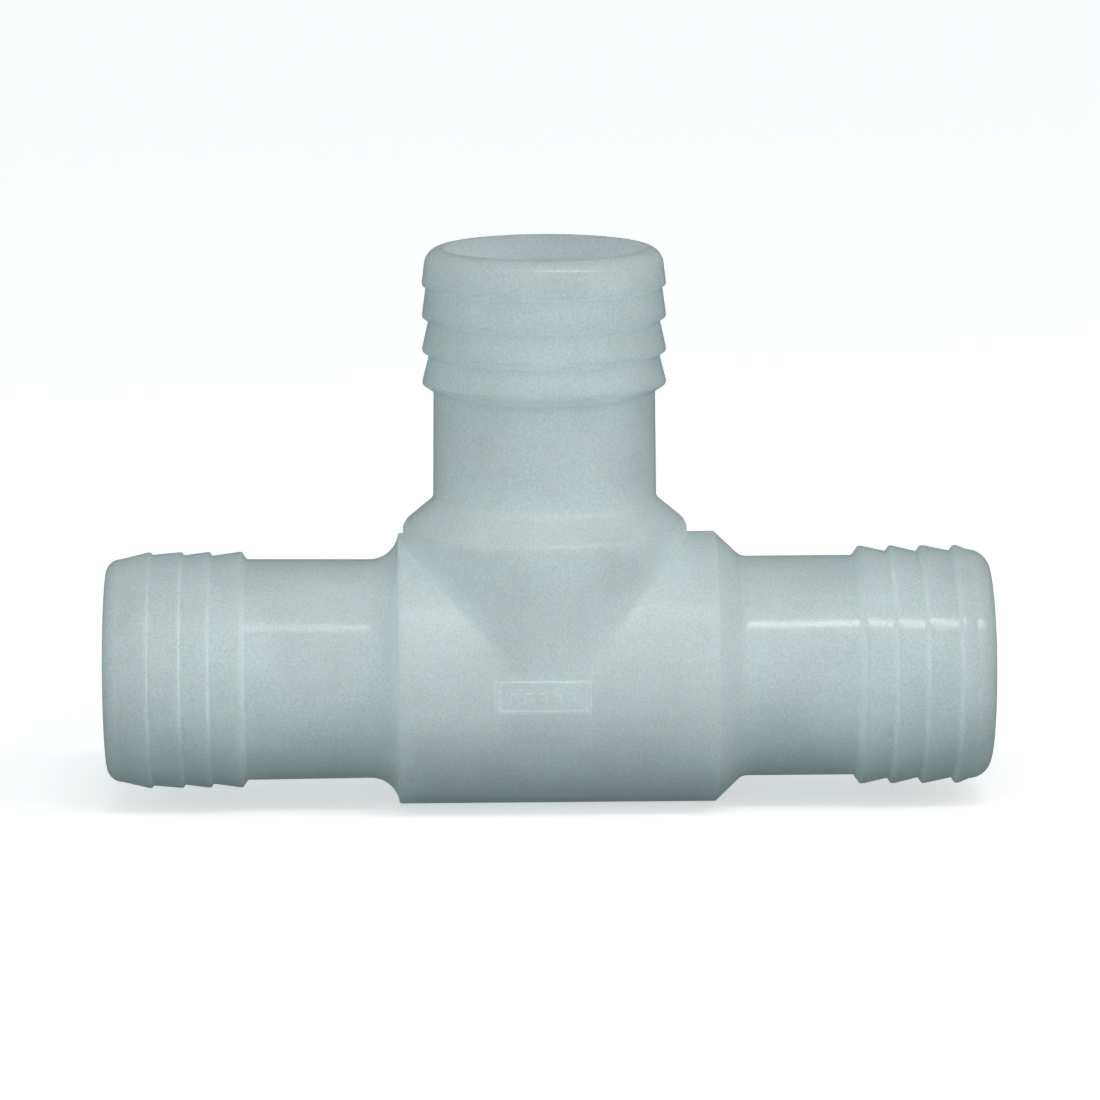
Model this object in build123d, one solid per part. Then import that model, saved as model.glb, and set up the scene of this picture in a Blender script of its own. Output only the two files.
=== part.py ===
from build123d import *
import math
import os

# Barbed insert tee, one hollow nylon moulding. Millimetres.
# The origin is where the run axis and the branch axis cross. +X is along the run, +Z is up the branch,
# and the moulded frame is on the -Y side. The moulding is held as four sections that meet face to face:
# the hub and three barbed spigots.

# Waterway and tube
BORE_R = 13.85
MOUTH_R = 15.2  # inner lip of each end, where the nose's rounding stops
MOUTH_DEPTH = 4.0  # taper from the lip down to the bore

# Hub barrel, round the run axis
BARREL_R = 20.4
BARREL_LEFT = -22.1
BARREL_RIGHT = 25.5
LEFT_ROOT = -27.0  # where the left spigot starts
LEFT_ROOT_R = 16.5
LEFT_SHOULDER_R = 4.3  # concave arc from the tube up to the barrel's end
RIGHT_ROOT = 31.5
RIGHT_ROOT_R = 16.6
RIGHT_CONE_END = 29.5  # where the right shoulder's cone would meet the tube
RIGHT_FILLET_R = 2.0

# Branch boss, round the branch axis. It is a little larger than the barrel, so their edges meet in a V.
# Below BOSS_FADE it narrows, and sinks under the barrel's skin. Above BOSS_FLARE it widens to its top edge.
BOSS_R = 20.75
BOSS_SUNK_R = 20.17  # at the height of the run axis
BOSS_FADE = 4.0
BOSS_FLARE = 14.0
BOSS_TOP = 22.1
BOSS_TOP_R = 21.4
BOSS_EDGE_R = 1.8
BRANCH_ROOT = 29.0
BRANCH_ROOT_R = 16.75
BOSS_CONE_END = 26.0  # where the boss's cone would meet the tube
BOSS_FILLET_R = 1.6

# Barbs. Each crest is given by its distance from the spigot's end to the crest's hub-side edge.
CREST_LAND = 0.4  # short cylinder at the top of each barb
BACK_RUN = 0.7  # length of a barb's back face for each unit of its height
SPIGOTS = {
    "left_spigot": {
        "root": -LEFT_ROOT,
        "root_r": LEFT_ROOT_R,
        "tube_r": 16.65,
        "end": 66.0,
        "crest_r": 17.76,
        "crests": (6.6, 11.3, 15.5, 20.3),
        "valleys_r": (17.4, 17.3, 17.2),
        "nose_r": 16.8,
        "nose_depth": 2.2,
    },
    "right_spigot": {
        "root": RIGHT_ROOT,
        "root_r": RIGHT_ROOT_R,
        "tube_r": 16.6,
        "end": 66.9,
        "crest_r": 17.98,
        "crests": (5.1, 10.1, 14.8, 19.5),
        "valleys_r": (17.15, 17.1, 17.15),
        "nose_r": 17.3,
        "nose_depth": 3.0,
    },
    "branch_spigot": {
        "root": BRANCH_ROOT,
        "root_r": BRANCH_ROOT_R,
        "tube_r": 16.57,
        "end": 63.9,
        "crest_r": 18.2,
        "crests": (5.5, 10.3, 15.4, 20.35),
        "valleys_r": (17.65, 17.3, 17.2),
        "nose_r": 17.9,
        "nose_depth": 2.7,
    },
}

# Moulded frame on the barrel's front, with plain pips in place of lettering
FRAME_LEFT = -7.8
FRAME_RIGHT = 6.3
FRAME_TOP = 2.0
FRAME_BOTTOM = -3.1
FRAME_LINE = 0.7
FRAME_RELIEF = 0.3
PIP_COUNT = 5
PIP_WIDTH = 1.1
PIP_HEIGHT = 1.5
PIP_PITCH = 2.1
PIP_RELIEF = 0.2

# Mould mark above the frame: a shallow round pad on the boss's front
PAD_HEIGHT = 6.8
PAD_X = 0.5
PAD_R = 1.4
PAD_RELIEF = 0.12

STANDING = (Align.CENTER, Align.CENTER, Align.MIN)  # a cylinder that stands on its own origin


def revolved(outline):
    """A solid of revolution about Z, from a closed outline in the XZ plane."""
    return revolve(Plane.XZ * make_face(outline), Axis.Z)


def chained(points):
    """Straight edges through the points, in order."""
    return [Line(a, b) for a, b in zip(points[:-1], points[1:])]


def nose_arc(s):
    """The rounding from the lip out to the nose's side. It leaves the side along the spigot's axis."""
    width = s["nose_r"] - MOUTH_R
    depth = s["nose_depth"]
    radius = (width**2 + depth**2) / (2 * width)
    centre_r = s["nose_r"] - radius
    foot = s["end"] - depth
    half_turn = math.asin(depth / radius) / 2
    on_arc = (centre_r + radius * math.cos(half_turn), foot + radius * math.sin(half_turn))
    return ThreePointArc((MOUTH_R, s["end"]), on_arc, (s["nose_r"], foot))


def barbed_spigot(s):
    """One spigot standing on Z: tube, four barbs and a rounded nose, with its bore and tapered mouth."""
    end = s["end"]
    outer = [(s["nose_r"], end - s["nose_depth"])]
    roots = (*s["valleys_r"], s["tube_r"])
    for distance, root_r in zip(s["crests"], roots):
        crest = end - distance
        back = BACK_RUN * (s["crest_r"] - root_r)
        outer.append((s["crest_r"], crest + CREST_LAND))
        outer.append((s["crest_r"], crest))
        outer.append((root_r, crest - back))
    outer.append((s["root_r"], s["root"]))
    inner = [
        (s["root_r"], s["root"]),
        (BORE_R, s["root"]),
        (BORE_R, end - MOUTH_DEPTH),
        (MOUTH_R, end),
    ]
    return revolved(chained(outer) + chained(inner) + [nose_arc(s)])


def rounded_profile(points, radii):
    """A closed face outline in the XZ plane, with its corners rounded where radii gives one."""
    face = make_face(Polyline(*points, close=True))
    for corner, radius in radii.items():
        near = face.vertices().sort_by_distance((*points[corner], 0))[0]
        face = fillet(near, radius)
    return face


def hub_barrel():
    """The barrel and its two shoulders, solid, lying along X."""
    arc_r = LEFT_SHOULDER_R
    centre_r = LEFT_ROOT_R + arc_r
    centre_x = BARREL_LEFT - math.sqrt(arc_r**2 - (centre_r - BARREL_R) ** 2)
    end_angle = math.atan2(BARREL_R - centre_r, BARREL_LEFT - centre_x)
    middle = (end_angle - math.pi / 2) / 2
    on_arc = (centre_x + arc_r * math.cos(middle), centre_r + arc_r * math.sin(middle))
    shoulder = ThreePointArc((centre_x, LEFT_ROOT_R), on_arc, (BARREL_LEFT, BARREL_R))
    left = chained([(LEFT_ROOT, 0), (LEFT_ROOT, LEFT_ROOT_R), (centre_x, LEFT_ROOT_R)])
    barrel = [(BARREL_LEFT, BARREL_R), (BARREL_RIGHT, BARREL_R)]
    cone_foot = (RIGHT_CONE_END, RIGHT_ROOT_R)
    right = chained([*barrel, cone_foot, (RIGHT_ROOT, RIGHT_ROOT_R)])
    axis = chained([(RIGHT_ROOT, RIGHT_ROOT_R), (RIGHT_ROOT, 0), (LEFT_ROOT, 0)])
    face = make_face(left + [shoulder] + right + axis)
    foot = face.vertices().sort_by_distance((*cone_foot, 0))[0]
    return revolve(fillet(foot, RIGHT_FILLET_R), Axis.X)


def branch_boss():
    """The boss and its conical shoulder, solid, standing on Z."""
    points = [
        (0, 0),
        (BOSS_SUNK_R, 0),
        (BOSS_R, BOSS_FADE),
        (BOSS_R, BOSS_FLARE),
        (BOSS_TOP_R, BOSS_TOP),
        (BRANCH_ROOT_R, BOSS_CONE_END),
        (BRANCH_ROOT_R, BRANCH_ROOT),
        (0, BRANCH_ROOT),
    ]
    return revolve(Plane.XZ * rounded_profile(points, {4: BOSS_EDGE_R, 5: BOSS_FILLET_R}), Axis.Z)


def front_block(width, height, x, z):
    """A block that reaches from the run axis out past the hub's front."""
    depth = 2 * BOSS_R
    return Pos(x, -depth / 2, z) * Box(width, depth, height)


def marking_frame():
    """The raised border and the row of plain pips inside it."""
    x = (FRAME_LEFT + FRAME_RIGHT) / 2
    z = (FRAME_TOP + FRAME_BOTTOM) / 2
    width = FRAME_RIGHT - FRAME_LEFT
    height = FRAME_TOP - FRAME_BOTTOM
    window = front_block(width - 2 * FRAME_LINE, height - 2 * FRAME_LINE, x, z)
    border = front_block(width, height, x, z) - window
    frame = border & (Rot(0, 90, 0) * Cylinder(BARREL_R + FRAME_RELIEF, 2 * BOSS_R))
    pip_barrel = Rot(0, 90, 0) * Cylinder(BARREL_R + PIP_RELIEF, 2 * BOSS_R)
    first = x - PIP_PITCH * (PIP_COUNT - 1) / 2
    for n in range(PIP_COUNT):
        frame += front_block(PIP_WIDTH, PIP_HEIGHT, first + n * PIP_PITCH, z) & pip_barrel
    return frame


def mould_pad():
    """The shallow round pad on the boss's front."""
    reach = 2 * BOSS_R
    rod = Pos(PAD_X, -reach / 2, PAD_HEIGHT) * Rot(90, 0, 0) * Cylinder(PAD_R, reach)
    return rod & Cylinder(BOSS_R + PAD_RELIEF, reach)


def hub():
    """The barrel with the branch boss on it, bored through along the run and up into the branch."""
    solid = hub_barrel() + branch_boss() + marking_frame() + mould_pad()
    run_bore = Rot(0, 90, 0) * Cylinder(BORE_R, 4 * BOSS_R)
    branch_bore = Cylinder(BORE_R, 2 * BOSS_R, align=STANDING)
    return solid - run_bore - branch_bore


PLACES = {
    "left_spigot": Rot(0, -90, 0),
    "right_spigot": Rot(0, 90, 0),
    "branch_spigot": Rot(0, 0, 0),
}

os.makedirs("parts", exist_ok=True)
export_step(hub(), "parts/hub.step")
for name, sizes in SPIGOTS.items():
    export_step(PLACES[name] * barbed_spigot(sizes), f"parts/{name}.step")
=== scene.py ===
import math

import bpy
import numpy as np
from mathutils import Matrix, Vector


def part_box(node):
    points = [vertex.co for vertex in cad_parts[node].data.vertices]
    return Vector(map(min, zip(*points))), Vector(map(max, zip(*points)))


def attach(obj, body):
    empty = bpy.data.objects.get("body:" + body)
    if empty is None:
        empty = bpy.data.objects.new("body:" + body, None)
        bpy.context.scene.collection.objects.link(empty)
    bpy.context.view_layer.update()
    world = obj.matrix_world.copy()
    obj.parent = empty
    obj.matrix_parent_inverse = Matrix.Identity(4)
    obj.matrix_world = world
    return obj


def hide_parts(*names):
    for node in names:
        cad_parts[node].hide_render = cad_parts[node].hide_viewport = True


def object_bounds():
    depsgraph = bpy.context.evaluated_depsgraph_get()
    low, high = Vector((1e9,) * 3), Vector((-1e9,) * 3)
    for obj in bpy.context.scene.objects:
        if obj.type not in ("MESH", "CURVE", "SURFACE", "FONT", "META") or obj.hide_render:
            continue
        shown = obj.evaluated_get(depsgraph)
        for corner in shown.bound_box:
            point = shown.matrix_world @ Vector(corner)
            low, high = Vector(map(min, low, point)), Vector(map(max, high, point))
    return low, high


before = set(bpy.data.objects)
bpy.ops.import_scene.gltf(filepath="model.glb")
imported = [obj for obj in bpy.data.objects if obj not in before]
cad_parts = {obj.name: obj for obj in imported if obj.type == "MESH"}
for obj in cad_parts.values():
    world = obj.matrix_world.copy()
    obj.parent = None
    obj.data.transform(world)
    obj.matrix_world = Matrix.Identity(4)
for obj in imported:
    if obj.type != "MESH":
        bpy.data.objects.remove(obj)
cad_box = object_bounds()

MM = 0.001  # the moulding's sizes below are in millimetres, and its mesh is scaled by this


def cad_span(node, axis):
    """Where a CAD node starts and ends along an axis (0, 1 or 2), in millimetres."""
    low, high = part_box(node)
    return low[axis] / MM, high[axis] / MM


# ---------------------------------------------------------------------------------------------------------
# Sizes
# ---------------------------------------------------------------------------------------------------------

BORE_R = 13.85
MOUTH_R = 15.2
MOUTH_DEPTH = 4.0

BARREL_R = 20.4
BARREL_LEFT = -22.1
BARREL_RIGHT = 25.5
BARREL_EDGE_R = 0.4  # rounding of the barrel's two end edges
LEFT_ROOT_R = 16.5
LEFT_SHOULDER_R = 4.3
RIGHT_ROOT_R = 16.6
RIGHT_CONE_END = 29.5
RIGHT_FILLET_R = 2.0

BOSS_R = 20.75
BOSS_SUNK_R = 20.17  # at the height of the run axis, under the barrel's skin
BOSS_FADE = 4.0  # the boss narrows below this height
BOSS_FLARE = 14.0  # and widens above this one
BOSS_TOP = 22.1
BOSS_TOP_R = 21.4
BOSS_EDGE_R = 1.8
BOSS_CONE_END = 26.0
BOSS_FILLET_R = 1.6
BRANCH_ROOT_R = 16.75

CREST_LAND = 0.4
BACK_RUN = 0.7
CREST_EDGE_R = 0.14  # rounding of each barb's two crest edges
VALLEY_R = 0.3  # rounding at the foot of each barb's back face
LIP_EDGE_R = 0.3  # rounding of the lip
MOUTH_EDGE_R = 2.0  # rounding where the mouth's taper meets the bore

# Distances of the crests from the spigot's end, and the radii at the foot of each barb, from the end inwards
LEFT = {
    "tube_r": 16.65,
    "crest_r": 17.76,
    "crests": (6.6, 11.3, 15.5, 20.3),
    "valleys_r": (17.4, 17.3, 17.2),
    "nose_r": 16.8,
    "nose_depth": 2.2,
}
RIGHT = {
    "tube_r": 16.6,
    "crest_r": 17.98,
    "crests": (5.1, 10.1, 14.8, 19.5),
    "valleys_r": (17.15, 17.1, 17.15),
    "nose_r": 17.3,
    "nose_depth": 3.0,
}
BRANCH = {
    "tube_r": 16.57,
    "crest_r": 18.2,
    "crests": (5.5, 10.3, 15.4, 20.35),
    "valleys_r": (17.65, 17.3, 17.2),
    "nose_r": 17.9,
    "nose_depth": 2.7,
}
LEFT["end"] = -cad_span("left_spigot", 0)[0]
RIGHT["end"] = cad_span("right_spigot", 0)[1]
BRANCH["end"] = cad_span("branch_spigot", 2)[1]

FRAME_LEFT = -7.8
FRAME_RIGHT = 6.3
FRAME_TOP = 2.0
FRAME_BOTTOM = -3.1
FRAME_LINE = 0.7
FRAME_RELIEF = 0.21
PIP_COUNT = 5
PIP_WIDTH = 1.1
PIP_HEIGHT = 1.5
PIP_PITCH = 2.1
PIP_RELIEF = 0.15
PAD_X = 0.5
PAD_HEIGHT = 6.8
PAD_R = 1.4
PAD_RELIEF = 0.09

CREASE_BLEND = 0.5  # how wide the barrel and the boss melt into each other along the V
CREASE_BLEND_END = 0.15  # and how wide where the V comes near the barrel's ends
RELIEF_BLEND = 0.14  # rounding of the frame's, pips' and pad's edges

# Where the hub's own rows end and the plain rings of the spigots begin: so far from each edge
EDGE_BAND = 0.3
BOSS_BAND = 1.0
JOIN_BAND = 0.1  # width of the band of triangles between the two
WELD = 1e-4  # points nearer than about this become one

# Mesh density
SPIGOT_COLUMNS = 192
FINE_STEP = 0.15  # round the moulded frame
FRAME_REACH = 8.0  # how far from the middle the fine columns go
CREASE_FINE = 2.9  # how far the fine steps along the V go
CREASE_STEP = 0.5  # along the V, away from the frame
CREASE_SAMPLES = 4000  # for measuring lengths along the V
BARREL_STEP = 0.62  # round the barrel's underside
PAD_STEP = 0.2
FRAME_MARGIN = 0.6  # how far below the frame the fine rows go
PAD_MARGIN = 0.4  # how far above and below the pad its fine rows go
SKIRT_FINE = 1.2  # how far up the boss from the V the fine rows go
GROWTH = 1.27  # each row is this much wider than the last, away from the fine ones
ARC_STEP = math.radians(13)  # longest step along a rounding
LONGEST_STEP = 2.0  # along a spigot's outline
ROUNDING_SHARE = 0.48  # how much of a straight side a rounding may take, so that two don't meet
FIRST_SHARE = 0.98  # of an outline's first side, which has a rounding at one end only
NOSE_STEPS = 8
SHOULDER_STEPS = 9
BORE_ROWS = 16

# Finding the hub's skin
FAR = 9.0  # added to a distance to put it out of reach
SEARCH_IN = 0.6  # how far inwards and outwards from the plain shape the skin is looked for
SEARCH_OUT = 0.9
SEARCH_BLEND = 3 * CREASE_BLEND  # how gently the direction of the search turns across the V
SLOPE_STEP = 0.01  # for measuring which way a distance grows
SKIN_HALVINGS = 34  # of that search's range
CREASE_HALVINGS = 50  # of the range in which the V's height is looked for


# ---------------------------------------------------------------------------------------------------------
# Look
# ---------------------------------------------------------------------------------------------------------

# A noise texture stays between about these two
NOISE_LOW = 0.3
NOISE_HIGH = 0.7

# Colour. Scales are in features per metre, and the places are in millimetres.
NYLON_DARK = (0.438, 0.487, 0.487)
NYLON_PALE = (0.628, 0.703, 0.703)
DARK_TONE = 0.25  # the tone at which the colour is NYLON_DARK
PALE_TONE = 0.75
CLOUD_SCALE = 90
GRAIN_SCALE = 3000
GRAIN_SHARE = 0.65  # how much of the tone is grain, and the rest is cloud
THIN_END_START = 36  # how far out along the run the painted shade of the thin ends begins
THIN_END_FULL = 52
THIN_BRANCH_LEAD = 12  # the branch's painted shade begins lower than that by this much
THIN_END_PAINTED_SHADE = 0.09  # painted shade on the thin ends and the branch, taken off the tone
MOUTH_PAINTED_LIGHT = 0.26  # painted light inside the branch's mouth, added to the tone
MOUTH_PAINTED_LIGHT_START = 30  # height at which the painted light begins inside the branch
MOUTH_PAINTED_LIGHT_FULL = 45
MOUTH_PAINTED_LIGHT_EDGE = 1  # how far inside the lip the painted light is full

# Gloss
HUB_ROUGHNESS = 0.335
SPIGOT_ROUGHNESS = 0.16
HUB_EDGE = 0.1  # width of the change from satin to polished at the barrel's two ends
BOSS_EDGE = 1.0  # and above the boss's top edge
UNEVEN_SCALE = 260
LESS_ROUGH = -0.02  # added to the roughness where the noise is low
MORE_ROUGH = 0.03  # and where it is high

# Relief that is too fine for the mesh. Depths are in millimetres.
WAVE_SCALE = 150
WAVE_STRENGTH = 0.14
WAVE_DEPTH = 0.6
PEEL_SCALE = 1900
PEEL_STRENGTH = 0.25
PEEL_DEPTH = 0.04

# Light inside the nylon
SPREAD_BY_COLOUR = (0.9, 1.05, 1.05)
LIGHT_SPREAD = 9.5  # millimetres
NYLON_IOR = 1.53

# Floor, lights and studio, in metres, degrees and watts
FLOOR_SIZE = 30.0
FLOOR_COLOUR = (0.88, 0.84, 0.84)
FLOOR_ROUGHNESS = 0.9
FLOOR_GLOW = 0.52
WARM = (1, 0.91, 0.91)
COOL = (0.92, 1, 1)
FRONT_ELEVATION = 3
FRONT_DISTANCE = 0.2
FRONT_SIZE = 0.13
FRONT_POWER = 0.152
BROAD_LIGHTS = (  # name, azimuth, elevation, how wide it looks, watts per square metre
    ("above", 6, 60, 30, 0.38),
    ("from_left", -70, 15, 60, 0.87),
    ("from_right", 70, 15, 60, 0.85),
)
BROAD_DISTANCE = 2
STRIPS = (  # name, from x, to x, power
    ("strip", -0.03, 0.9, 2.25),
    ("dim_strip", -0.33, -0.03, 0.18),
)
STRIP_ELEVATION = 54.8
STRIP_DISTANCE = 1.0
STRIP_WIDTH = 0.1
STUDIO_COLOUR = (0.73, 1, 1)
STUDIO_LOW = 0.15
STUDIO_HIGH = 0.31
DARKEST_HEIGHT = -0.9  # of a direction, where straight down is -1 and straight up is 1
BRIGHTEST_HEIGHT = 0.4

# Camera, in metres and degrees. AIM_RIGHT and AIM_UP move it across its own view.
CAMERA_AZIMUTH = -1.2
CAMERA_ELEVATION = 10.5
CAMERA_ROLL = 0.22
CAMERA_DISTANCE = 0.815
CAMERA_LENS = 176.6  # millimetres
AIM_RIGHT = 0.00077
AIM_UP = 0.01767


# ---------------------------------------------------------------------------------------------------------
# Outlines: (along, radius) points with the normals there
# ---------------------------------------------------------------------------------------------------------

def unit(v):
    """Vectors scaled to a length of 1."""
    return v / np.linalg.norm(v, axis=-1, keepdims=True)


def turned(v, angle):
    """A flat vector turned to the left."""
    c, s = math.cos(angle), math.sin(angle)
    return np.array([c * v[0] - s * v[1], s * v[0] + c * v[1]])


def outline(corners):
    """Points and outward normals along a path whose corners are (along, radius, rounding). The path runs away
    from the hub with the plastic on its right, so outward is on its left."""
    points, normals = [], []
    at = [np.array(c[:2], float) for c in corners]
    for i, corner in enumerate(corners):
        if i == 0 or i == len(corners) - 1:
            a, b = (at[0], at[1]) if i == 0 else (at[-2], at[-1])
            points.append(at[i])
            normals.append(turned(unit(b - a), math.pi / 2))
            continue
        way_in, way_out = at[i] - at[i - 1], at[i + 1] - at[i]
        share = FIRST_SHARE if i == 1 else ROUNDING_SHARE
        room = min(share * np.linalg.norm(way_in), ROUNDING_SHARE * np.linalg.norm(way_out))
        way_in, way_out = unit(way_in), unit(way_out)
        turn = math.atan2(way_in[0] * way_out[1] - way_in[1] * way_out[0], way_in @ way_out)
        reach = min(corner[2] * math.tan(abs(turn) / 2), room)
        radius = reach / math.tan(abs(turn) / 2)
        steps = max(2, math.ceil(abs(turn) / ARC_STEP))
        start = at[i] - way_in * reach
        centre = start + turned(way_in, math.copysign(math.pi / 2, turn)) * radius
        for n in range(steps + 1):
            angle = turn * n / steps
            points.append(centre + turned(start - centre, angle))
            normals.append(turned(turned(way_in, angle), math.pi / 2))
    return lengthened(np.array(points), np.array(normals))


def lengthened(points, normals):
    """The same path with its long straight stretches divided."""
    out_p, out_n = [points[0]], [normals[0]]
    for a, b, na, nb in zip(points[:-1], points[1:], normals[:-1], normals[1:]):
        pieces = max(1, math.ceil(np.linalg.norm(b - a) / LONGEST_STEP))
        for n in range(1, pieces + 1):
            out_p.append(a + (b - a) * n / pieces)
            out_n.append(unit(na + (nb - na) * n / pieces))
    return np.array(out_p), np.array(out_n)


def boss_radius(z):
    """The boss's radius at height z, from the run axis up to its top edge."""
    heights = (0, BOSS_FADE, BOSS_FLARE, BOSS_TOP)
    return np.interp(z, heights, (BOSS_SUNK_R, BOSS_R, BOSS_R, BOSS_TOP_R))


def spigot_corners(s):
    """The corners of one spigot's outline, from its innermost barb to its bore."""
    corners = []
    roots = (*s["valleys_r"], s["tube_r"])
    for distance, root_r in reversed(list(zip(s["crests"], roots))):
        crest = s["end"] - distance
        back = BACK_RUN * (s["crest_r"] - root_r)
        corners.append((crest - back, root_r, VALLEY_R))
        corners.append((crest, s["crest_r"], CREST_EDGE_R))
        corners.append((crest + CREST_LAND, s["crest_r"], CREST_EDGE_R))
    width, depth = s["nose_r"] - MOUTH_R, s["nose_depth"]
    radius = (width**2 + depth**2) / (2 * width)
    for n in range(NOSE_STEPS):
        angle = math.asin(depth / radius) * n / NOSE_STEPS
        along = s["end"] - depth + radius * math.sin(angle)
        corners.append((along, s["nose_r"] - radius + radius * math.cos(angle), radius))
    corners.append((s["end"], MOUTH_R, LIP_EDGE_R))
    corners.append((s["end"] - MOUTH_DEPTH, BORE_R, MOUTH_EDGE_R))
    corners.append((s["end"] - 1.5 * MOUTH_DEPTH, BORE_R, 0))
    return corners


def left_outline():
    """From the barrel's left end edge, over the concave shoulder, to the left bore. Along is -X."""
    arc_r = LEFT_SHOULDER_R
    centre_r = LEFT_ROOT_R + arc_r
    centre = -BARREL_LEFT + math.sqrt(arc_r**2 - (centre_r - BARREL_R) ** 2)
    first = math.atan2(centre_r - BARREL_R, centre + BARREL_LEFT)
    shoulder = []
    for n in range(1, SHOULDER_STEPS + 1):
        angle = first + (math.pi / 2 - first) * n / SHOULDER_STEPS
        shoulder.append((centre - arc_r * math.cos(angle), centre_r - arc_r * math.sin(angle), arc_r))
    corners = [(-BARREL_LEFT - EDGE_BAND, BARREL_R, 0), (-BARREL_LEFT, BARREL_R, BARREL_EDGE_R)]
    return outline(corners + shoulder + spigot_corners(LEFT))


def right_outline():
    """From the barrel's right end edge, down the cone, to the right bore. Along is +X."""
    corners = [
        (BARREL_RIGHT - EDGE_BAND, BARREL_R, 0),
        (BARREL_RIGHT, BARREL_R, BARREL_EDGE_R),
        (RIGHT_CONE_END, RIGHT_ROOT_R, RIGHT_FILLET_R),
    ]
    return outline(corners + spigot_corners(RIGHT))


def branch_outline():
    """From just under the boss's top edge, up the cone, to the branch bore. Along is +Z."""
    start = BOSS_TOP - BOSS_BAND
    corners = [
        (start, float(boss_radius(start)), 0),
        (BOSS_TOP, BOSS_TOP_R, BOSS_EDGE_R),
        (BOSS_CONE_END, BRANCH_ROOT_R, BOSS_FILLET_R),
    ]
    return outline(corners + spigot_corners(BRANCH))


# ---------------------------------------------------------------------------------------------------------
# The hub's skin, as the zero of a distance
# ---------------------------------------------------------------------------------------------------------

def soft_min(a, b, width):
    """The lesser of two distances, rounded off where they are nearer than width to each other."""
    h = np.clip(1 - np.abs(a - b) / width, 0, 1)
    return np.minimum(a, b) - h * h * width / 4


def soft_max(a, b, width):
    """The greater of two distances, rounded off in the same way."""
    return -soft_min(-a, -b, width)


def slab(x, low, high):
    """How far x is outside the stretch from low to high, and below zero inside it."""
    return np.abs(x - (low + high) / 2) - (high - low) / 2


def plain_distance(p, crease):
    """How far points are outside the barrel and the boss on it. Crease is how wide the two melt into each
    other along the V."""
    x, y, z = p[..., 0], p[..., 1], p[..., 2]
    barrel = np.hypot(y, z) - BARREL_R
    boss = np.maximum(np.hypot(x, y) - boss_radius(z), -z)
    return soft_min(barrel, boss, crease)


def hub_distance(p):
    """How far points are outside the hub's skin, the raised marks included."""
    x, y, z = p[..., 0], p[..., 1], p[..., 2]
    room = -BARREL_LEFT - EDGE_BAND - JOIN_BAND - np.abs(x)
    skin = plain_distance(p, np.clip(room, CREASE_BLEND_END, CREASE_BLEND))
    behind = np.where(y < 0, 0.0, FAR)

    outside = np.maximum(slab(x, FRAME_LEFT, FRAME_RIGHT), slab(z, FRAME_BOTTOM, FRAME_TOP))
    ring = np.abs(outside + FRAME_LINE / 2) - FRAME_LINE / 2
    marks = soft_max(ring + behind, skin - FRAME_RELIEF, RELIEF_BLEND)

    middle_x, middle_z = (FRAME_LEFT + FRAME_RIGHT) / 2, (FRAME_TOP + FRAME_BOTTOM) / 2
    nearest = np.clip(np.round((x - middle_x) / PIP_PITCH), -(PIP_COUNT // 2), PIP_COUNT // 2)
    pip_x = np.abs(x - middle_x - nearest * PIP_PITCH) - PIP_WIDTH / 2
    pip_z = np.abs(z - middle_z) - PIP_HEIGHT / 2
    pips = soft_max(np.maximum(pip_x, pip_z) + behind, skin - PIP_RELIEF, RELIEF_BLEND)

    disc = np.hypot(x - PAD_X, z - PAD_HEIGHT) - PAD_R
    pad = soft_max(disc + behind, skin - PAD_RELIEF, RELIEF_BLEND)
    marks = np.minimum(np.minimum(marks, pips), pad)
    return soft_min(skin, marks, RELIEF_BLEND)


def way_up(distance, p, **sizes):
    """The direction in which a distance grows fastest, at points p."""
    slopes = []
    for axis in range(3):
        offset = np.zeros(3)
        offset[axis] = SLOPE_STEP
        slopes.append(distance(p + offset, **sizes) - distance(p - offset, **sizes))
    return unit(np.stack(slopes, axis=-1))


def hub_patch(p):
    """Points near the hub's skin moved on to it, with the normals there. They move along directions that turn
    gently from the barrel's to the boss's, so that neighbours don't cross."""
    directions = way_up(plain_distance, p, crease=SEARCH_BLEND)
    low, high = np.full(p.shape[:-1], -SEARCH_IN), np.full(p.shape[:-1], SEARCH_OUT)
    for _ in range(SKIN_HALVINGS):
        middle = (low + high) / 2
        inside = hub_distance(p + directions * middle[..., None]) < 0
        low, high = np.where(inside, middle, low), np.where(inside, high, middle)
    moved = p + directions * ((low + high) / 2)[..., None]
    return moved, way_up(hub_distance, moved)


# ---------------------------------------------------------------------------------------------------------
# Grids of points. Each patch is (points, normals), both shaped (rows, columns, 3).
# ---------------------------------------------------------------------------------------------------------

def growing(first, growth, total):
    """Steps from 0 to total that start at `first` and grow."""
    at = [0.0]
    step = first
    while at[-1] < total:
        at.append(at[-1] + step)
        step *= growth
    return np.array(at) * total / at[-1]


def fine_then_growing(fine, total):
    """FINE_STEP up to `fine`, then growing steps up to `total`."""
    start = np.arange(0, fine, FINE_STEP)
    return np.concatenate([start, fine + growing(FINE_STEP, GROWTH, total - fine)])


def crease_points(angle):
    """Where the boss's skin meets the barrel's, at angles round Z from the X axis."""
    low, high = np.zeros_like(angle), np.full_like(angle, BARREL_R)
    for _ in range(CREASE_HALVINGS):
        z = (low + high) / 2
        under = np.hypot(boss_radius(z) * np.sin(angle), z) < BARREL_R
        low, high = np.where(under, z, low), np.where(under, high, z)
    return boss_radius(z) * np.cos(angle), boss_radius(z) * np.sin(angle), z


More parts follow.
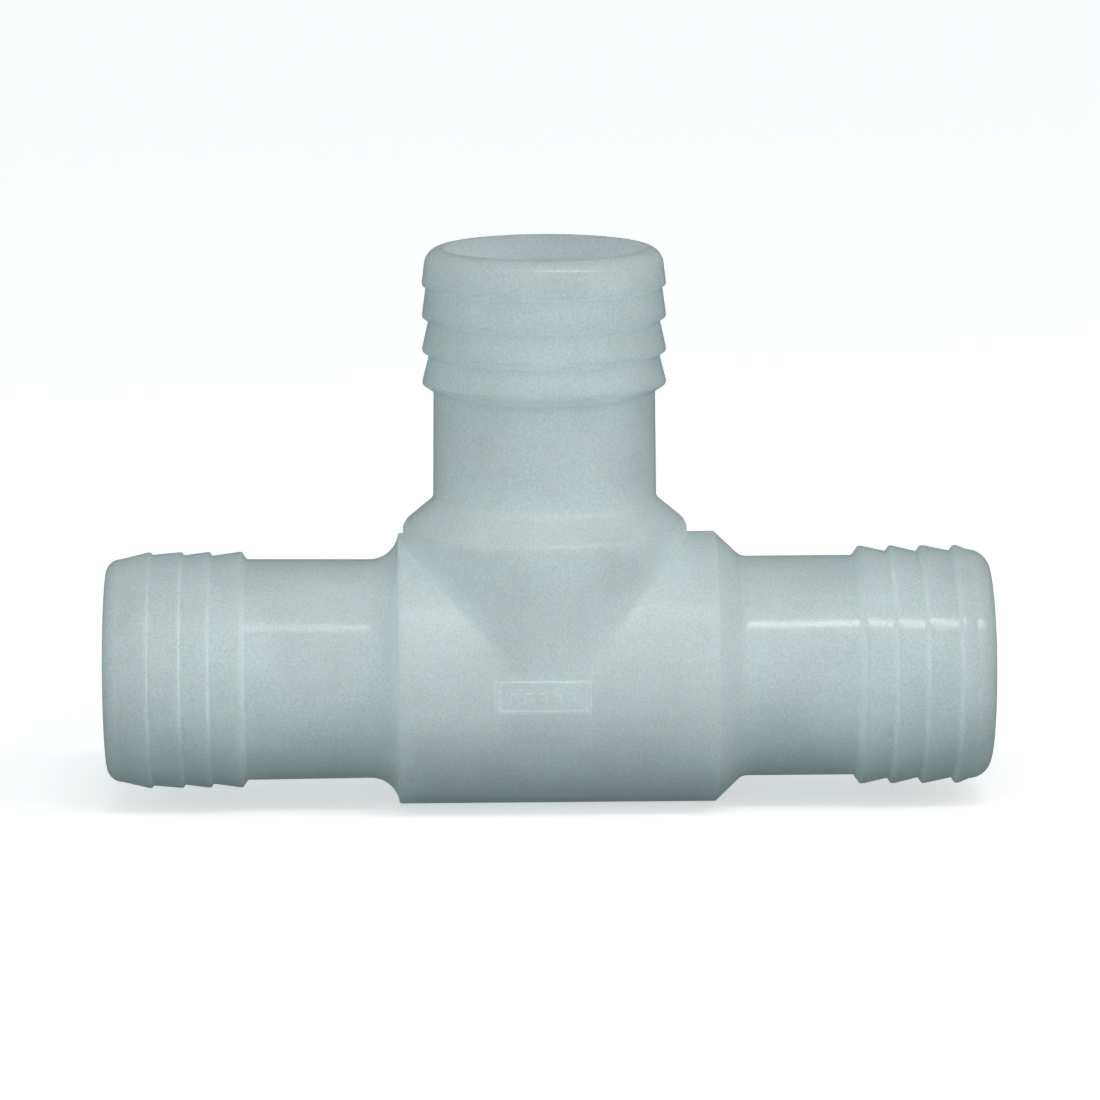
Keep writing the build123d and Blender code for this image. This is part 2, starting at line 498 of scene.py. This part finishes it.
def crease_angles():
    """The angles of the points along one quarter of the crease, from the X axis to the front."""
    fine = np.linspace(0, math.pi / 2, CREASE_SAMPLES)
    line = np.stack(crease_points(fine), axis=-1)
    lengths = np.linalg.norm(np.diff(line, axis=0), axis=-1)
    travelled = np.concatenate([np.cumsum(lengths[::-1])[::-1], [0.0]])
    dense = np.arange(0, CREASE_FINE, FINE_STEP)
    rest = np.linspace(CREASE_FINE, travelled[0], math.ceil((travelled[0] - CREASE_FINE) / CREASE_STEP))
    return np.interp(np.concatenate([dense, rest]), travelled[::-1], fine[::-1])[::-1]


def round_x(x, theta, radius):
    """Points round the run axis. Theta is 0 at the top and a quarter turn at the front."""
    x, theta, radius = np.broadcast_arrays(x, theta, radius)
    return np.stack([x, -radius * np.sin(theta), radius * np.cos(theta)], axis=-1)


def round_z(z, angle, radius):
    """Points round the branch axis. The angle is 0 at +X and a quarter turn at the front."""
    z, angle, radius = np.broadcast_arrays(z, angle, radius)
    return np.stack([radius * np.cos(angle), -radius * np.sin(angle), z], axis=-1)


QUARTER = crease_angles()
CREASE_X, CREASE_Y, CREASE_Z = crease_points(QUARTER)
CREASE_THETA = np.arctan2(CREASE_Y, CREASE_Z)
FRONT_THETA = CREASE_THETA[-1]  # where the boss sinks under the barrel's skin at the front


def lower_thetas():
    """From the crease's lowest point at the front, under the barrel, to the one at the back."""
    marks = (CREASE_Z[-1] - FRAME_BOTTOM + FRAME_MARGIN) / BARREL_R
    fine = np.linspace(0, marks, math.ceil(marks * BARREL_R / FINE_STEP))
    rest = 2 * (math.pi - FRONT_THETA) - marks
    coarse = np.linspace(0, rest, math.ceil(rest * BARREL_R / BARREL_STEP))
    return FRONT_THETA + np.concatenate([fine, marks + coarse[1:]])


def barrel_sides():
    """The barrel from the crease to each end edge. Below the crease the two sides meet at the middle."""
    lower = lower_thetas()[1:]
    thetas = np.concatenate([-CREASE_THETA[::-1], CREASE_THETA[1:], lower])
    start = np.concatenate([CREASE_X[::-1], CREASE_X[1:], np.zeros(len(lower))])
    patches = []
    for side, edge in ((-1, -BARREL_LEFT), (1, BARREL_RIGHT)):
        edge -= EDGE_BAND + JOIN_BAND
        share = fine_then_growing(FRAME_REACH, edge) / edge
        x = side * (start[:, None] + (edge - start[:, None]) * share[None, :])
        patches.append(hub_patch(round_x(x, thetas[:, None], BARREL_R)))
    return patches  # left and right


def boss_skirt():
    """The boss's side, from the crease up to near its top edge."""
    angles = [side + a for side in (0, math.pi) for a in (QUARTER, math.pi - QUARTER[-2::-1])]
    heights = [CREASE_Z, CREASE_Z[-2::-1]] * 2
    angles, starts = np.unique(np.round(np.concatenate(angles), 12), return_index=True)
    starts = np.concatenate(heights)[starts]
    top = BOSS_TOP - BOSS_BAND - JOIN_BAND
    low = starts.min()
    pad_low = PAD_HEIGHT - PAD_R - PAD_MARGIN
    pad_high = PAD_HEIGHT + PAD_R + PAD_MARGIN
    rows = np.concatenate([
        low + fine_then_growing(SKIRT_FINE, pad_low - low),
        np.arange(pad_low + PAD_STEP, pad_high, PAD_STEP),
        pad_high + growing(PAD_STEP, GROWTH, top - pad_high),
    ])
    share = (rows - low)[:, None] / (top - low)
    heights = starts + (top - starts) * share
    return hub_patch(round_z(heights, angles, boss_radius(heights)))


def around(path, place):
    """A path turned round its axis, as a patch of SPIGOT_COLUMNS columns. Place says which axis."""
    points, normals = path
    angles = np.linspace(0, math.tau, SPIGOT_COLUMNS + 1)[:, None]
    return place(points[:, 0], angles, points[:, 1]), place(normals[:, 0], angles, normals[:, 1])


def round_left(along, theta, radius):
    """Points round the run axis, by how far along they are to the left."""
    return round_x(-along, theta, radius)


def joined(outer, inner, axis):
    """A closed band of triangles between two rings of points that don't have the same angles. Each ring is
    (points, normals), and the axis that both go round is 0 or 2."""
    rings = []
    for points, normals in (outer, inner):
        across = points[:, 2] if axis == 0 else points[:, 0]
        angles = np.mod(np.arctan2(-points[:, 1], across), math.tau)
        angles[angles > math.tau - 1e-9] = 0
        order = np.unique(np.round(angles, 9), return_index=True)[1]
        rings.append((angles[order], points[order], normals[order]))
    (a, pa, na), (b, pb, nb) = rings
    corners, normals = [], []
    i = j = 0
    while i < len(a) or j < len(b):
        next_a = a[i + 1] if i + 1 < len(a) else a[0] + math.tau
        next_b = b[j + 1] if j + 1 < len(b) else b[0] + math.tau
        here, there = (i % len(a), j % len(b)), ((i + 1) % len(a), (j + 1) % len(b))
        if j >= len(b) or (i < len(a) and next_a <= next_b):
            third, its_normal = pa[there[0]], na[there[0]]
            i += 1
        else:
            third, its_normal = pb[there[1]], nb[there[1]]
            j += 1
        corners.append([pa[here[0]], pb[here[1]], third, third])
        normals.append([na[here[0]], nb[here[1]], its_normal, its_normal])
    return np.array(corners), np.array(normals)


def bore_patches(left_in, right_in, branch_in):
    """The two waterways, which meet in a sharp edge where they cross. The arguments say how far out each
    spigot's skin already lines its bore."""
    angle = np.linspace(0, math.tau, SPIGOT_COLUMNS + 1)
    share = np.linspace(0, 1, BORE_ROWS)
    crossing = (BORE_R * np.clip(np.cos(angle), 0, None))[:, None]
    patches = []
    for side, end in ((-1, left_in), (1, right_in)):
        points = round_x(side * (crossing + (end - crossing) * share), angle[:, None], BORE_R)
        patches.append((points, -unit(points * (0, 1, 1))))
    start = np.abs(BORE_R * np.cos(angle))[:, None]
    points = round_z(start + (branch_in - start) * share, angle[:, None], BORE_R)
    patches.append((points, -unit(points * (1, 1, 0))))
    return patches


# ---------------------------------------------------------------------------------------------------------
# The moulding's mesh
# ---------------------------------------------------------------------------------------------------------

def quads(patch):
    """A patch's faces as (corners, normals), both shaped (faces, 4, 3)."""
    def cut(grid):
        corners = (grid[:-1, :-1], grid[1:, :-1], grid[1:, 1:], grid[:-1, 1:])
        return np.stack(corners, axis=2).reshape(-1, 4, 3)
    return cut(patch[0]), cut(patch[1])


def welded_mesh(name, corners, normals):
    """One closed mesh from loose faces: shared points are welded, and each corner keeps its own normal."""
    facing = np.cross(corners[:, 2] - corners[:, 0], corners[:, 3] - corners[:, 1])
    triangle = np.all(corners[:, 2] == corners[:, 3], axis=-1)
    flat = np.cross(corners[:, 1] - corners[:, 0], corners[:, 2] - corners[:, 0])
    facing[triangle] = flat[triangle]
    backwards = np.einsum("ij,ij->i", facing, normals.sum(axis=1)) < 0
    corners[backwards] = corners[backwards][:, ::-1]
    normals[backwards] = normals[backwards][:, ::-1]
    grid = np.round(corners.reshape(-1, 3) / WELD).astype(np.int64)
    _, first, index = np.unique(grid, axis=0, return_index=True, return_inverse=True)
    points = corners.reshape(-1, 3)[first] * MM
    faces, loop_normals = [], []
    for face, face_normals in zip(index.reshape(-1, 4).tolist(), normals.tolist()):
        kept = [n for n in range(4) if face[n] != face[n - 1]]
        if len(kept) > 2 and len({face[n] for n in kept}) == len(kept):
            faces.append([face[n] for n in kept])
            loop_normals += [face_normals[n] for n in kept]
    mesh = bpy.data.meshes.new(name)
    mesh.from_pydata(points.tolist(), [], faces)
    mesh.polygons.foreach_set("use_smooth", np.ones(len(faces), bool))
    mesh.normals_split_custom_set(loop_normals)
    mesh.update()
    return mesh


def tee_mesh():
    """The whole moulding: the hub's skin, the three spigots, the waterways and the bands that join them."""
    left, right, branch = left_outline(), right_outline(), branch_outline()
    sides = barrel_sides()
    skirt = boss_skirt()
    skins = [around(left, round_left), around(right, round_x), around(branch, round_z)]
    bores = bore_patches(left[0][-1, 0], right[0][-1, 0], branch[0][-1, 0])
    patches = [*sides, skirt, *skins, *bores]
    faces = [quads(p) for p in patches]
    for (points, normals), (skin, skin_normals) in zip(sides, skins[:2]):
        faces.append(joined((points[:, -1], normals[:, -1]), (skin[:, 0], skin_normals[:, 0]), 0))
    top = (skirt[0][-1], skirt[1][-1])
    faces.append(joined(top, (skins[2][0][:, 0], skins[2][1][:, 0]), 2))
    corners = np.concatenate([f[0] for f in faces])
    normals = np.concatenate([f[1] for f in faces])
    return welded_mesh("tee_moulding", corners, normals)


# ---------------------------------------------------------------------------------------------------------
# Natural nylon
# ---------------------------------------------------------------------------------------------------------

def new_node(tree, kind, inputs):
    """A new shader node with its inputs set to numbers or linked to other nodes' outputs."""
    node = tree.nodes.new(kind)
    for key, value in inputs.items():
        if isinstance(value, bpy.types.NodeSocket):
            tree.links.new(value, node.inputs[key])
        else:
            node.inputs[key].default_value = value
    return node


def noise(tree, place, scale, detail, roughness=0.5):
    """A noise in the moulding's own space. Scale is in features per metre."""
    inputs = {"Vector": place, "Scale": scale, "Detail": detail, "Roughness": roughness}
    return new_node(tree, "ShaderNodeTexNoise", inputs).outputs["Fac"]


def ranged(tree, value, low, high, to_low, to_high):
    """A value that goes evenly from to_low to to_high as the given one goes from low to high."""
    inputs = {"Value": value, "From Min": low, "From Max": high, "To Min": to_low, "To Max": to_high}
    return new_node(tree, "ShaderNodeMapRange", inputs).outputs["Result"]


def maths(tree, operation, a, b=0.0):
    """A sum on one or two values."""
    node = new_node(tree, "ShaderNodeMath", {0: a, 1: b})
    node.operation = operation
    return node.outputs[0]


def bump(tree, height, strength, distance, normal=None):
    """A normal bent by a height, on top of another normal if there is one."""
    inputs = {"Height": height, "Strength": strength, "Distance": distance}
    if normal:
        inputs["Normal"] = normal
    return new_node(tree, "ShaderNodeBump", inputs).outputs["Normal"]


def nylon_colour(tree, place, x, y, z):
    """Cloudy at about a centimetre, grainy at a third of a millimetre. The thin ends of the run and the
    branch are given painted shade for the light they let through, and the branch's mouth is given painted
    light inside."""
    cloud = maths(tree, "MULTIPLY", noise(tree, place, CLOUD_SCALE, 3), 1 - GRAIN_SHARE)
    grain = maths(tree, "MULTIPLY", noise(tree, place, GRAIN_SCALE, 2, 0.6), GRAIN_SHARE)
    up_branch = maths(tree, "ADD", z, THIN_BRANCH_LEAD * MM)
    from_middle = maths(tree, "MAXIMUM", maths(tree, "ABSOLUTE", x), up_branch)
    # painted shade: the run's thin ends and the branch are made a little darker in colour
    ends = ranged(tree, from_middle, THIN_END_START * MM, THIN_END_FULL * MM, 0, THIN_END_PAINTED_SHADE)
    squares = maths(tree, "ADD", maths(tree, "POWER", x, 2), maths(tree, "POWER", y, 2))
    from_axis = maths(tree, "SQRT", squares)
    # painted light: the inside of the branch's mouth is made paler in colour
    painted_light_in_bore = ranged(tree, from_axis, MOUTH_R * MM, (MOUTH_R - MOUTH_PAINTED_LIGHT_EDGE) * MM, 0, MOUTH_PAINTED_LIGHT)
    painted_light_up_high = ranged(tree, z, MOUTH_PAINTED_LIGHT_START * MM, MOUTH_PAINTED_LIGHT_FULL * MM, 0, MOUTH_PAINTED_LIGHT)
    shaded = maths(tree, "SUBTRACT", maths(tree, "ADD", cloud, grain), ends)
    tone = maths(tree, "ADD", shaded, maths(tree, "MINIMUM", painted_light_in_bore, painted_light_up_high))
    ramp = new_node(tree, "ShaderNodeValToRGB", {"Fac": tone})
    dark, pale = ramp.color_ramp.elements
    dark.position = DARK_TONE
    dark.color = (*NYLON_DARK, 1)
    pale.position = PALE_TONE
    pale.color = (*NYLON_PALE, 1)
    return ramp.outputs["Color"]


def nylon_roughness(tree, place, x, z):
    """The spigots are polished and the hub is satin, with a slightly uneven gloss."""
    past_left = ranged(tree, x, BARREL_LEFT * MM, (BARREL_LEFT - HUB_EDGE) * MM, 0, 1)
    past_right = ranged(tree, x, BARREL_RIGHT * MM, (BARREL_RIGHT + HUB_EDGE) * MM, 0, 1)
    past_top = ranged(tree, z, BOSS_TOP * MM, (BOSS_TOP + BOSS_EDGE) * MM, 0, 1)
    on_spigot = maths(tree, "MAXIMUM", maths(tree, "MAXIMUM", past_left, past_right), past_top)
    gloss = ranged(tree, on_spigot, 0, 1, HUB_ROUGHNESS, SPIGOT_ROUGHNESS)
    uneven = ranged(tree, noise(tree, place, UNEVEN_SCALE, 4), NOISE_LOW, NOISE_HIGH, LESS_ROUGH, MORE_ROUGH)
    return maths(tree, "ADD", gloss, uneven)


def nylon_relief(tree, place):
    """Long soft waves from the mould, under a fine orange peel."""
    waves = bump(tree, noise(tree, place, WAVE_SCALE, 2), WAVE_STRENGTH, WAVE_DEPTH * MM)
    return bump(tree, noise(tree, place, PEEL_SCALE, 3, 0.6), PEEL_STRENGTH, PEEL_DEPTH * MM, waves)


def nylon():
    """Translucent uncoloured nylon, with light spreading inside it."""
    material = bpy.data.materials.new("natural_nylon")
    material.use_nodes = True
    tree = material.node_tree
    shader = tree.nodes["Principled BSDF"]
    place = tree.nodes.new("ShaderNodeTexCoord").outputs["Object"]
    x, y, z = new_node(tree, "ShaderNodeSeparateXYZ", {"Vector": place}).outputs
    tree.links.new(nylon_colour(tree, place, x, y, z), shader.inputs["Base Color"])
    tree.links.new(nylon_roughness(tree, place, x, z), shader.inputs["Roughness"])
    tree.links.new(nylon_relief(tree, place), shader.inputs["Normal"])
    shader.subsurface_method = "BURLEY"
    shader.inputs["Subsurface Weight"].default_value = 1.0
    shader.inputs["Subsurface Radius"].default_value = SPREAD_BY_COLOUR
    shader.inputs["Subsurface Scale"].default_value = LIGHT_SPREAD * MM
    shader.inputs["IOR"].default_value = NYLON_IOR
    return material


tee = bpy.data.objects.new("tee_moulding", tee_mesh())
bpy.context.scene.collection.objects.link(tee)
tee.data.materials.append(nylon())
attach(tee, "root")
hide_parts("hub", "left_spigot", "right_spigot", "branch_spigot")


# ---------------------------------------------------------------------------------------------------------
# Floor, light and camera
# ---------------------------------------------------------------------------------------------------------

def floor_plane():
    """A large white table under the moulding. It takes shadows, but throws no light back up: the dim studio
    below the horizon stands for that."""
    half, z = FLOOR_SIZE / 2, cad_box[0].z
    mesh = bpy.data.meshes.new("floor")
    corners = [(x, y, z) for x, y in ((-half, -half), (half, -half), (half, half), (-half, half))]
    mesh.from_pydata(corners, [], [(0, 1, 2, 3)])
    paper = bpy.data.materials.new("pale_paper")
    paper.use_nodes = True
    shader = paper.node_tree.nodes["Principled BSDF"]
    shader.inputs["Base Color"].default_value = (*FLOOR_COLOUR, 1)
    shader.inputs["Roughness"].default_value = FLOOR_ROUGHNESS
    shader.inputs["Emission Color"].default_value = (1, 1, 1, 1)
    shader.inputs["Emission Strength"].default_value = FLOOR_GLOW
    mesh.materials.append(paper)
    floor = bpy.data.objects.new("floor", mesh)
    floor.visible_diffuse = False
    floor.visible_glossy = False
    bpy.context.scene.collection.objects.link(floor)


def direction(azimuth, elevation):
    """The way out at azimuth degrees to the right of the front, and elevation degrees above the horizon."""
    azimuth, elevation = math.radians(azimuth), math.radians(elevation)
    across = math.cos(elevation)
    return Vector((math.sin(azimuth) * across, -math.cos(azimuth) * across, math.sin(elevation)))


def light(name, kind, towards, distance, energy, colour):
    """A light at a distance, which looks back at the moulding."""
    data = bpy.data.lights.new(name, kind)
    data.energy = energy
    data.color = colour
    obj = bpy.data.objects.new(name, data)
    obj.location = towards * distance
    obj.rotation_mode = "QUATERNION"
    obj.rotation_quaternion = towards.to_track_quat("Z", "Y")
    bpy.context.scene.collection.objects.link(obj)
    return obj


def soft_lights():
    """A near round lamp in front, and broad light from above and from both sides. None of them shows as a
    reflection."""
    front = light("front", "AREA", direction(0, FRONT_ELEVATION), FRONT_DISTANCE, FRONT_POWER, COOL)
    front.data.shape = "DISK"
    front.data.size = FRONT_SIZE
    front.visible_glossy = False
    for name, azimuth, elevation, spread, strength in BROAD_LIGHTS:
        broad = light(name, "SUN", direction(azimuth, elevation), BROAD_DISTANCE, strength, WARM)
        broad.data.angle = math.radians(spread)
        broad.visible_glossy = False


def strip_lights():
    """Strip lamps along the run. Their reflection is the bright line on the spigots."""
    for name, start, end, power in STRIPS:
        strip = light(name, "AREA", direction(0, STRIP_ELEVATION), STRIP_DISTANCE, power, WARM)
        strip.location.x = (start + end) / 2
        strip.data.shape = "RECTANGLE"
        strip.data.size = end - start
        strip.data.size_y = STRIP_WIDTH


def studio_world():
    """A dim studio, darker below than above."""
    world = bpy.data.worlds.new("studio")
    world.use_nodes = True
    tree = world.node_tree
    place = tree.nodes.new("ShaderNodeTexCoord").outputs["Generated"]
    height = new_node(tree, "ShaderNodeSeparateXYZ", {"Vector": place}).outputs["Z"]
    brightness = new_node(tree, "ShaderNodeMapRange", {
        "Value": height,
        "From Min": DARKEST_HEIGHT,
        "From Max": BRIGHTEST_HEIGHT,
        "To Min": STUDIO_LOW,
        "To Max": STUDIO_HIGH,
    })
    brightness.interpolation_type = "SMOOTHSTEP"
    background = tree.nodes["Background"]
    background.inputs["Color"].default_value = (*STUDIO_COLOUR, 1)
    tree.links.new(brightness.outputs["Result"], background.inputs["Strength"])
    bpy.context.scene.world = world


def photo_camera():
    """A long lens in front of the moulding and a little above it, tipped very slightly to one side."""
    azimuth, roll = math.radians(CAMERA_AZIMUTH), math.radians(CAMERA_ROLL)
    right = Vector((math.cos(azimuth), math.sin(azimuth), 0))
    back = direction(CAMERA_AZIMUTH, CAMERA_ELEVATION)
    up = back.cross(right)
    data = bpy.data.cameras.new("camera")
    data.lens = CAMERA_LENS
    data.sensor_width = 36
    data.clip_start = 0.01
    camera = bpy.data.objects.new("camera", data)
    place = right * AIM_RIGHT + up * AIM_UP + back * CAMERA_DISTANCE
    rolled_right = right * math.cos(roll) - up * math.sin(roll)
    rolled_up = up * math.cos(roll) + right * math.sin(roll)
    turn = Matrix((rolled_right, rolled_up, back)).transposed()
    camera.matrix_world = Matrix.Translation(place) @ turn.to_4x4()
    bpy.context.scene.collection.objects.link(camera)
    bpy.context.scene.camera = camera


floor_plane()
soft_lights()
strip_lights()
studio_world()
photo_camera()
bpy.context.scene.view_settings.view_transform = "Standard"

bpy.context.view_layer.update()
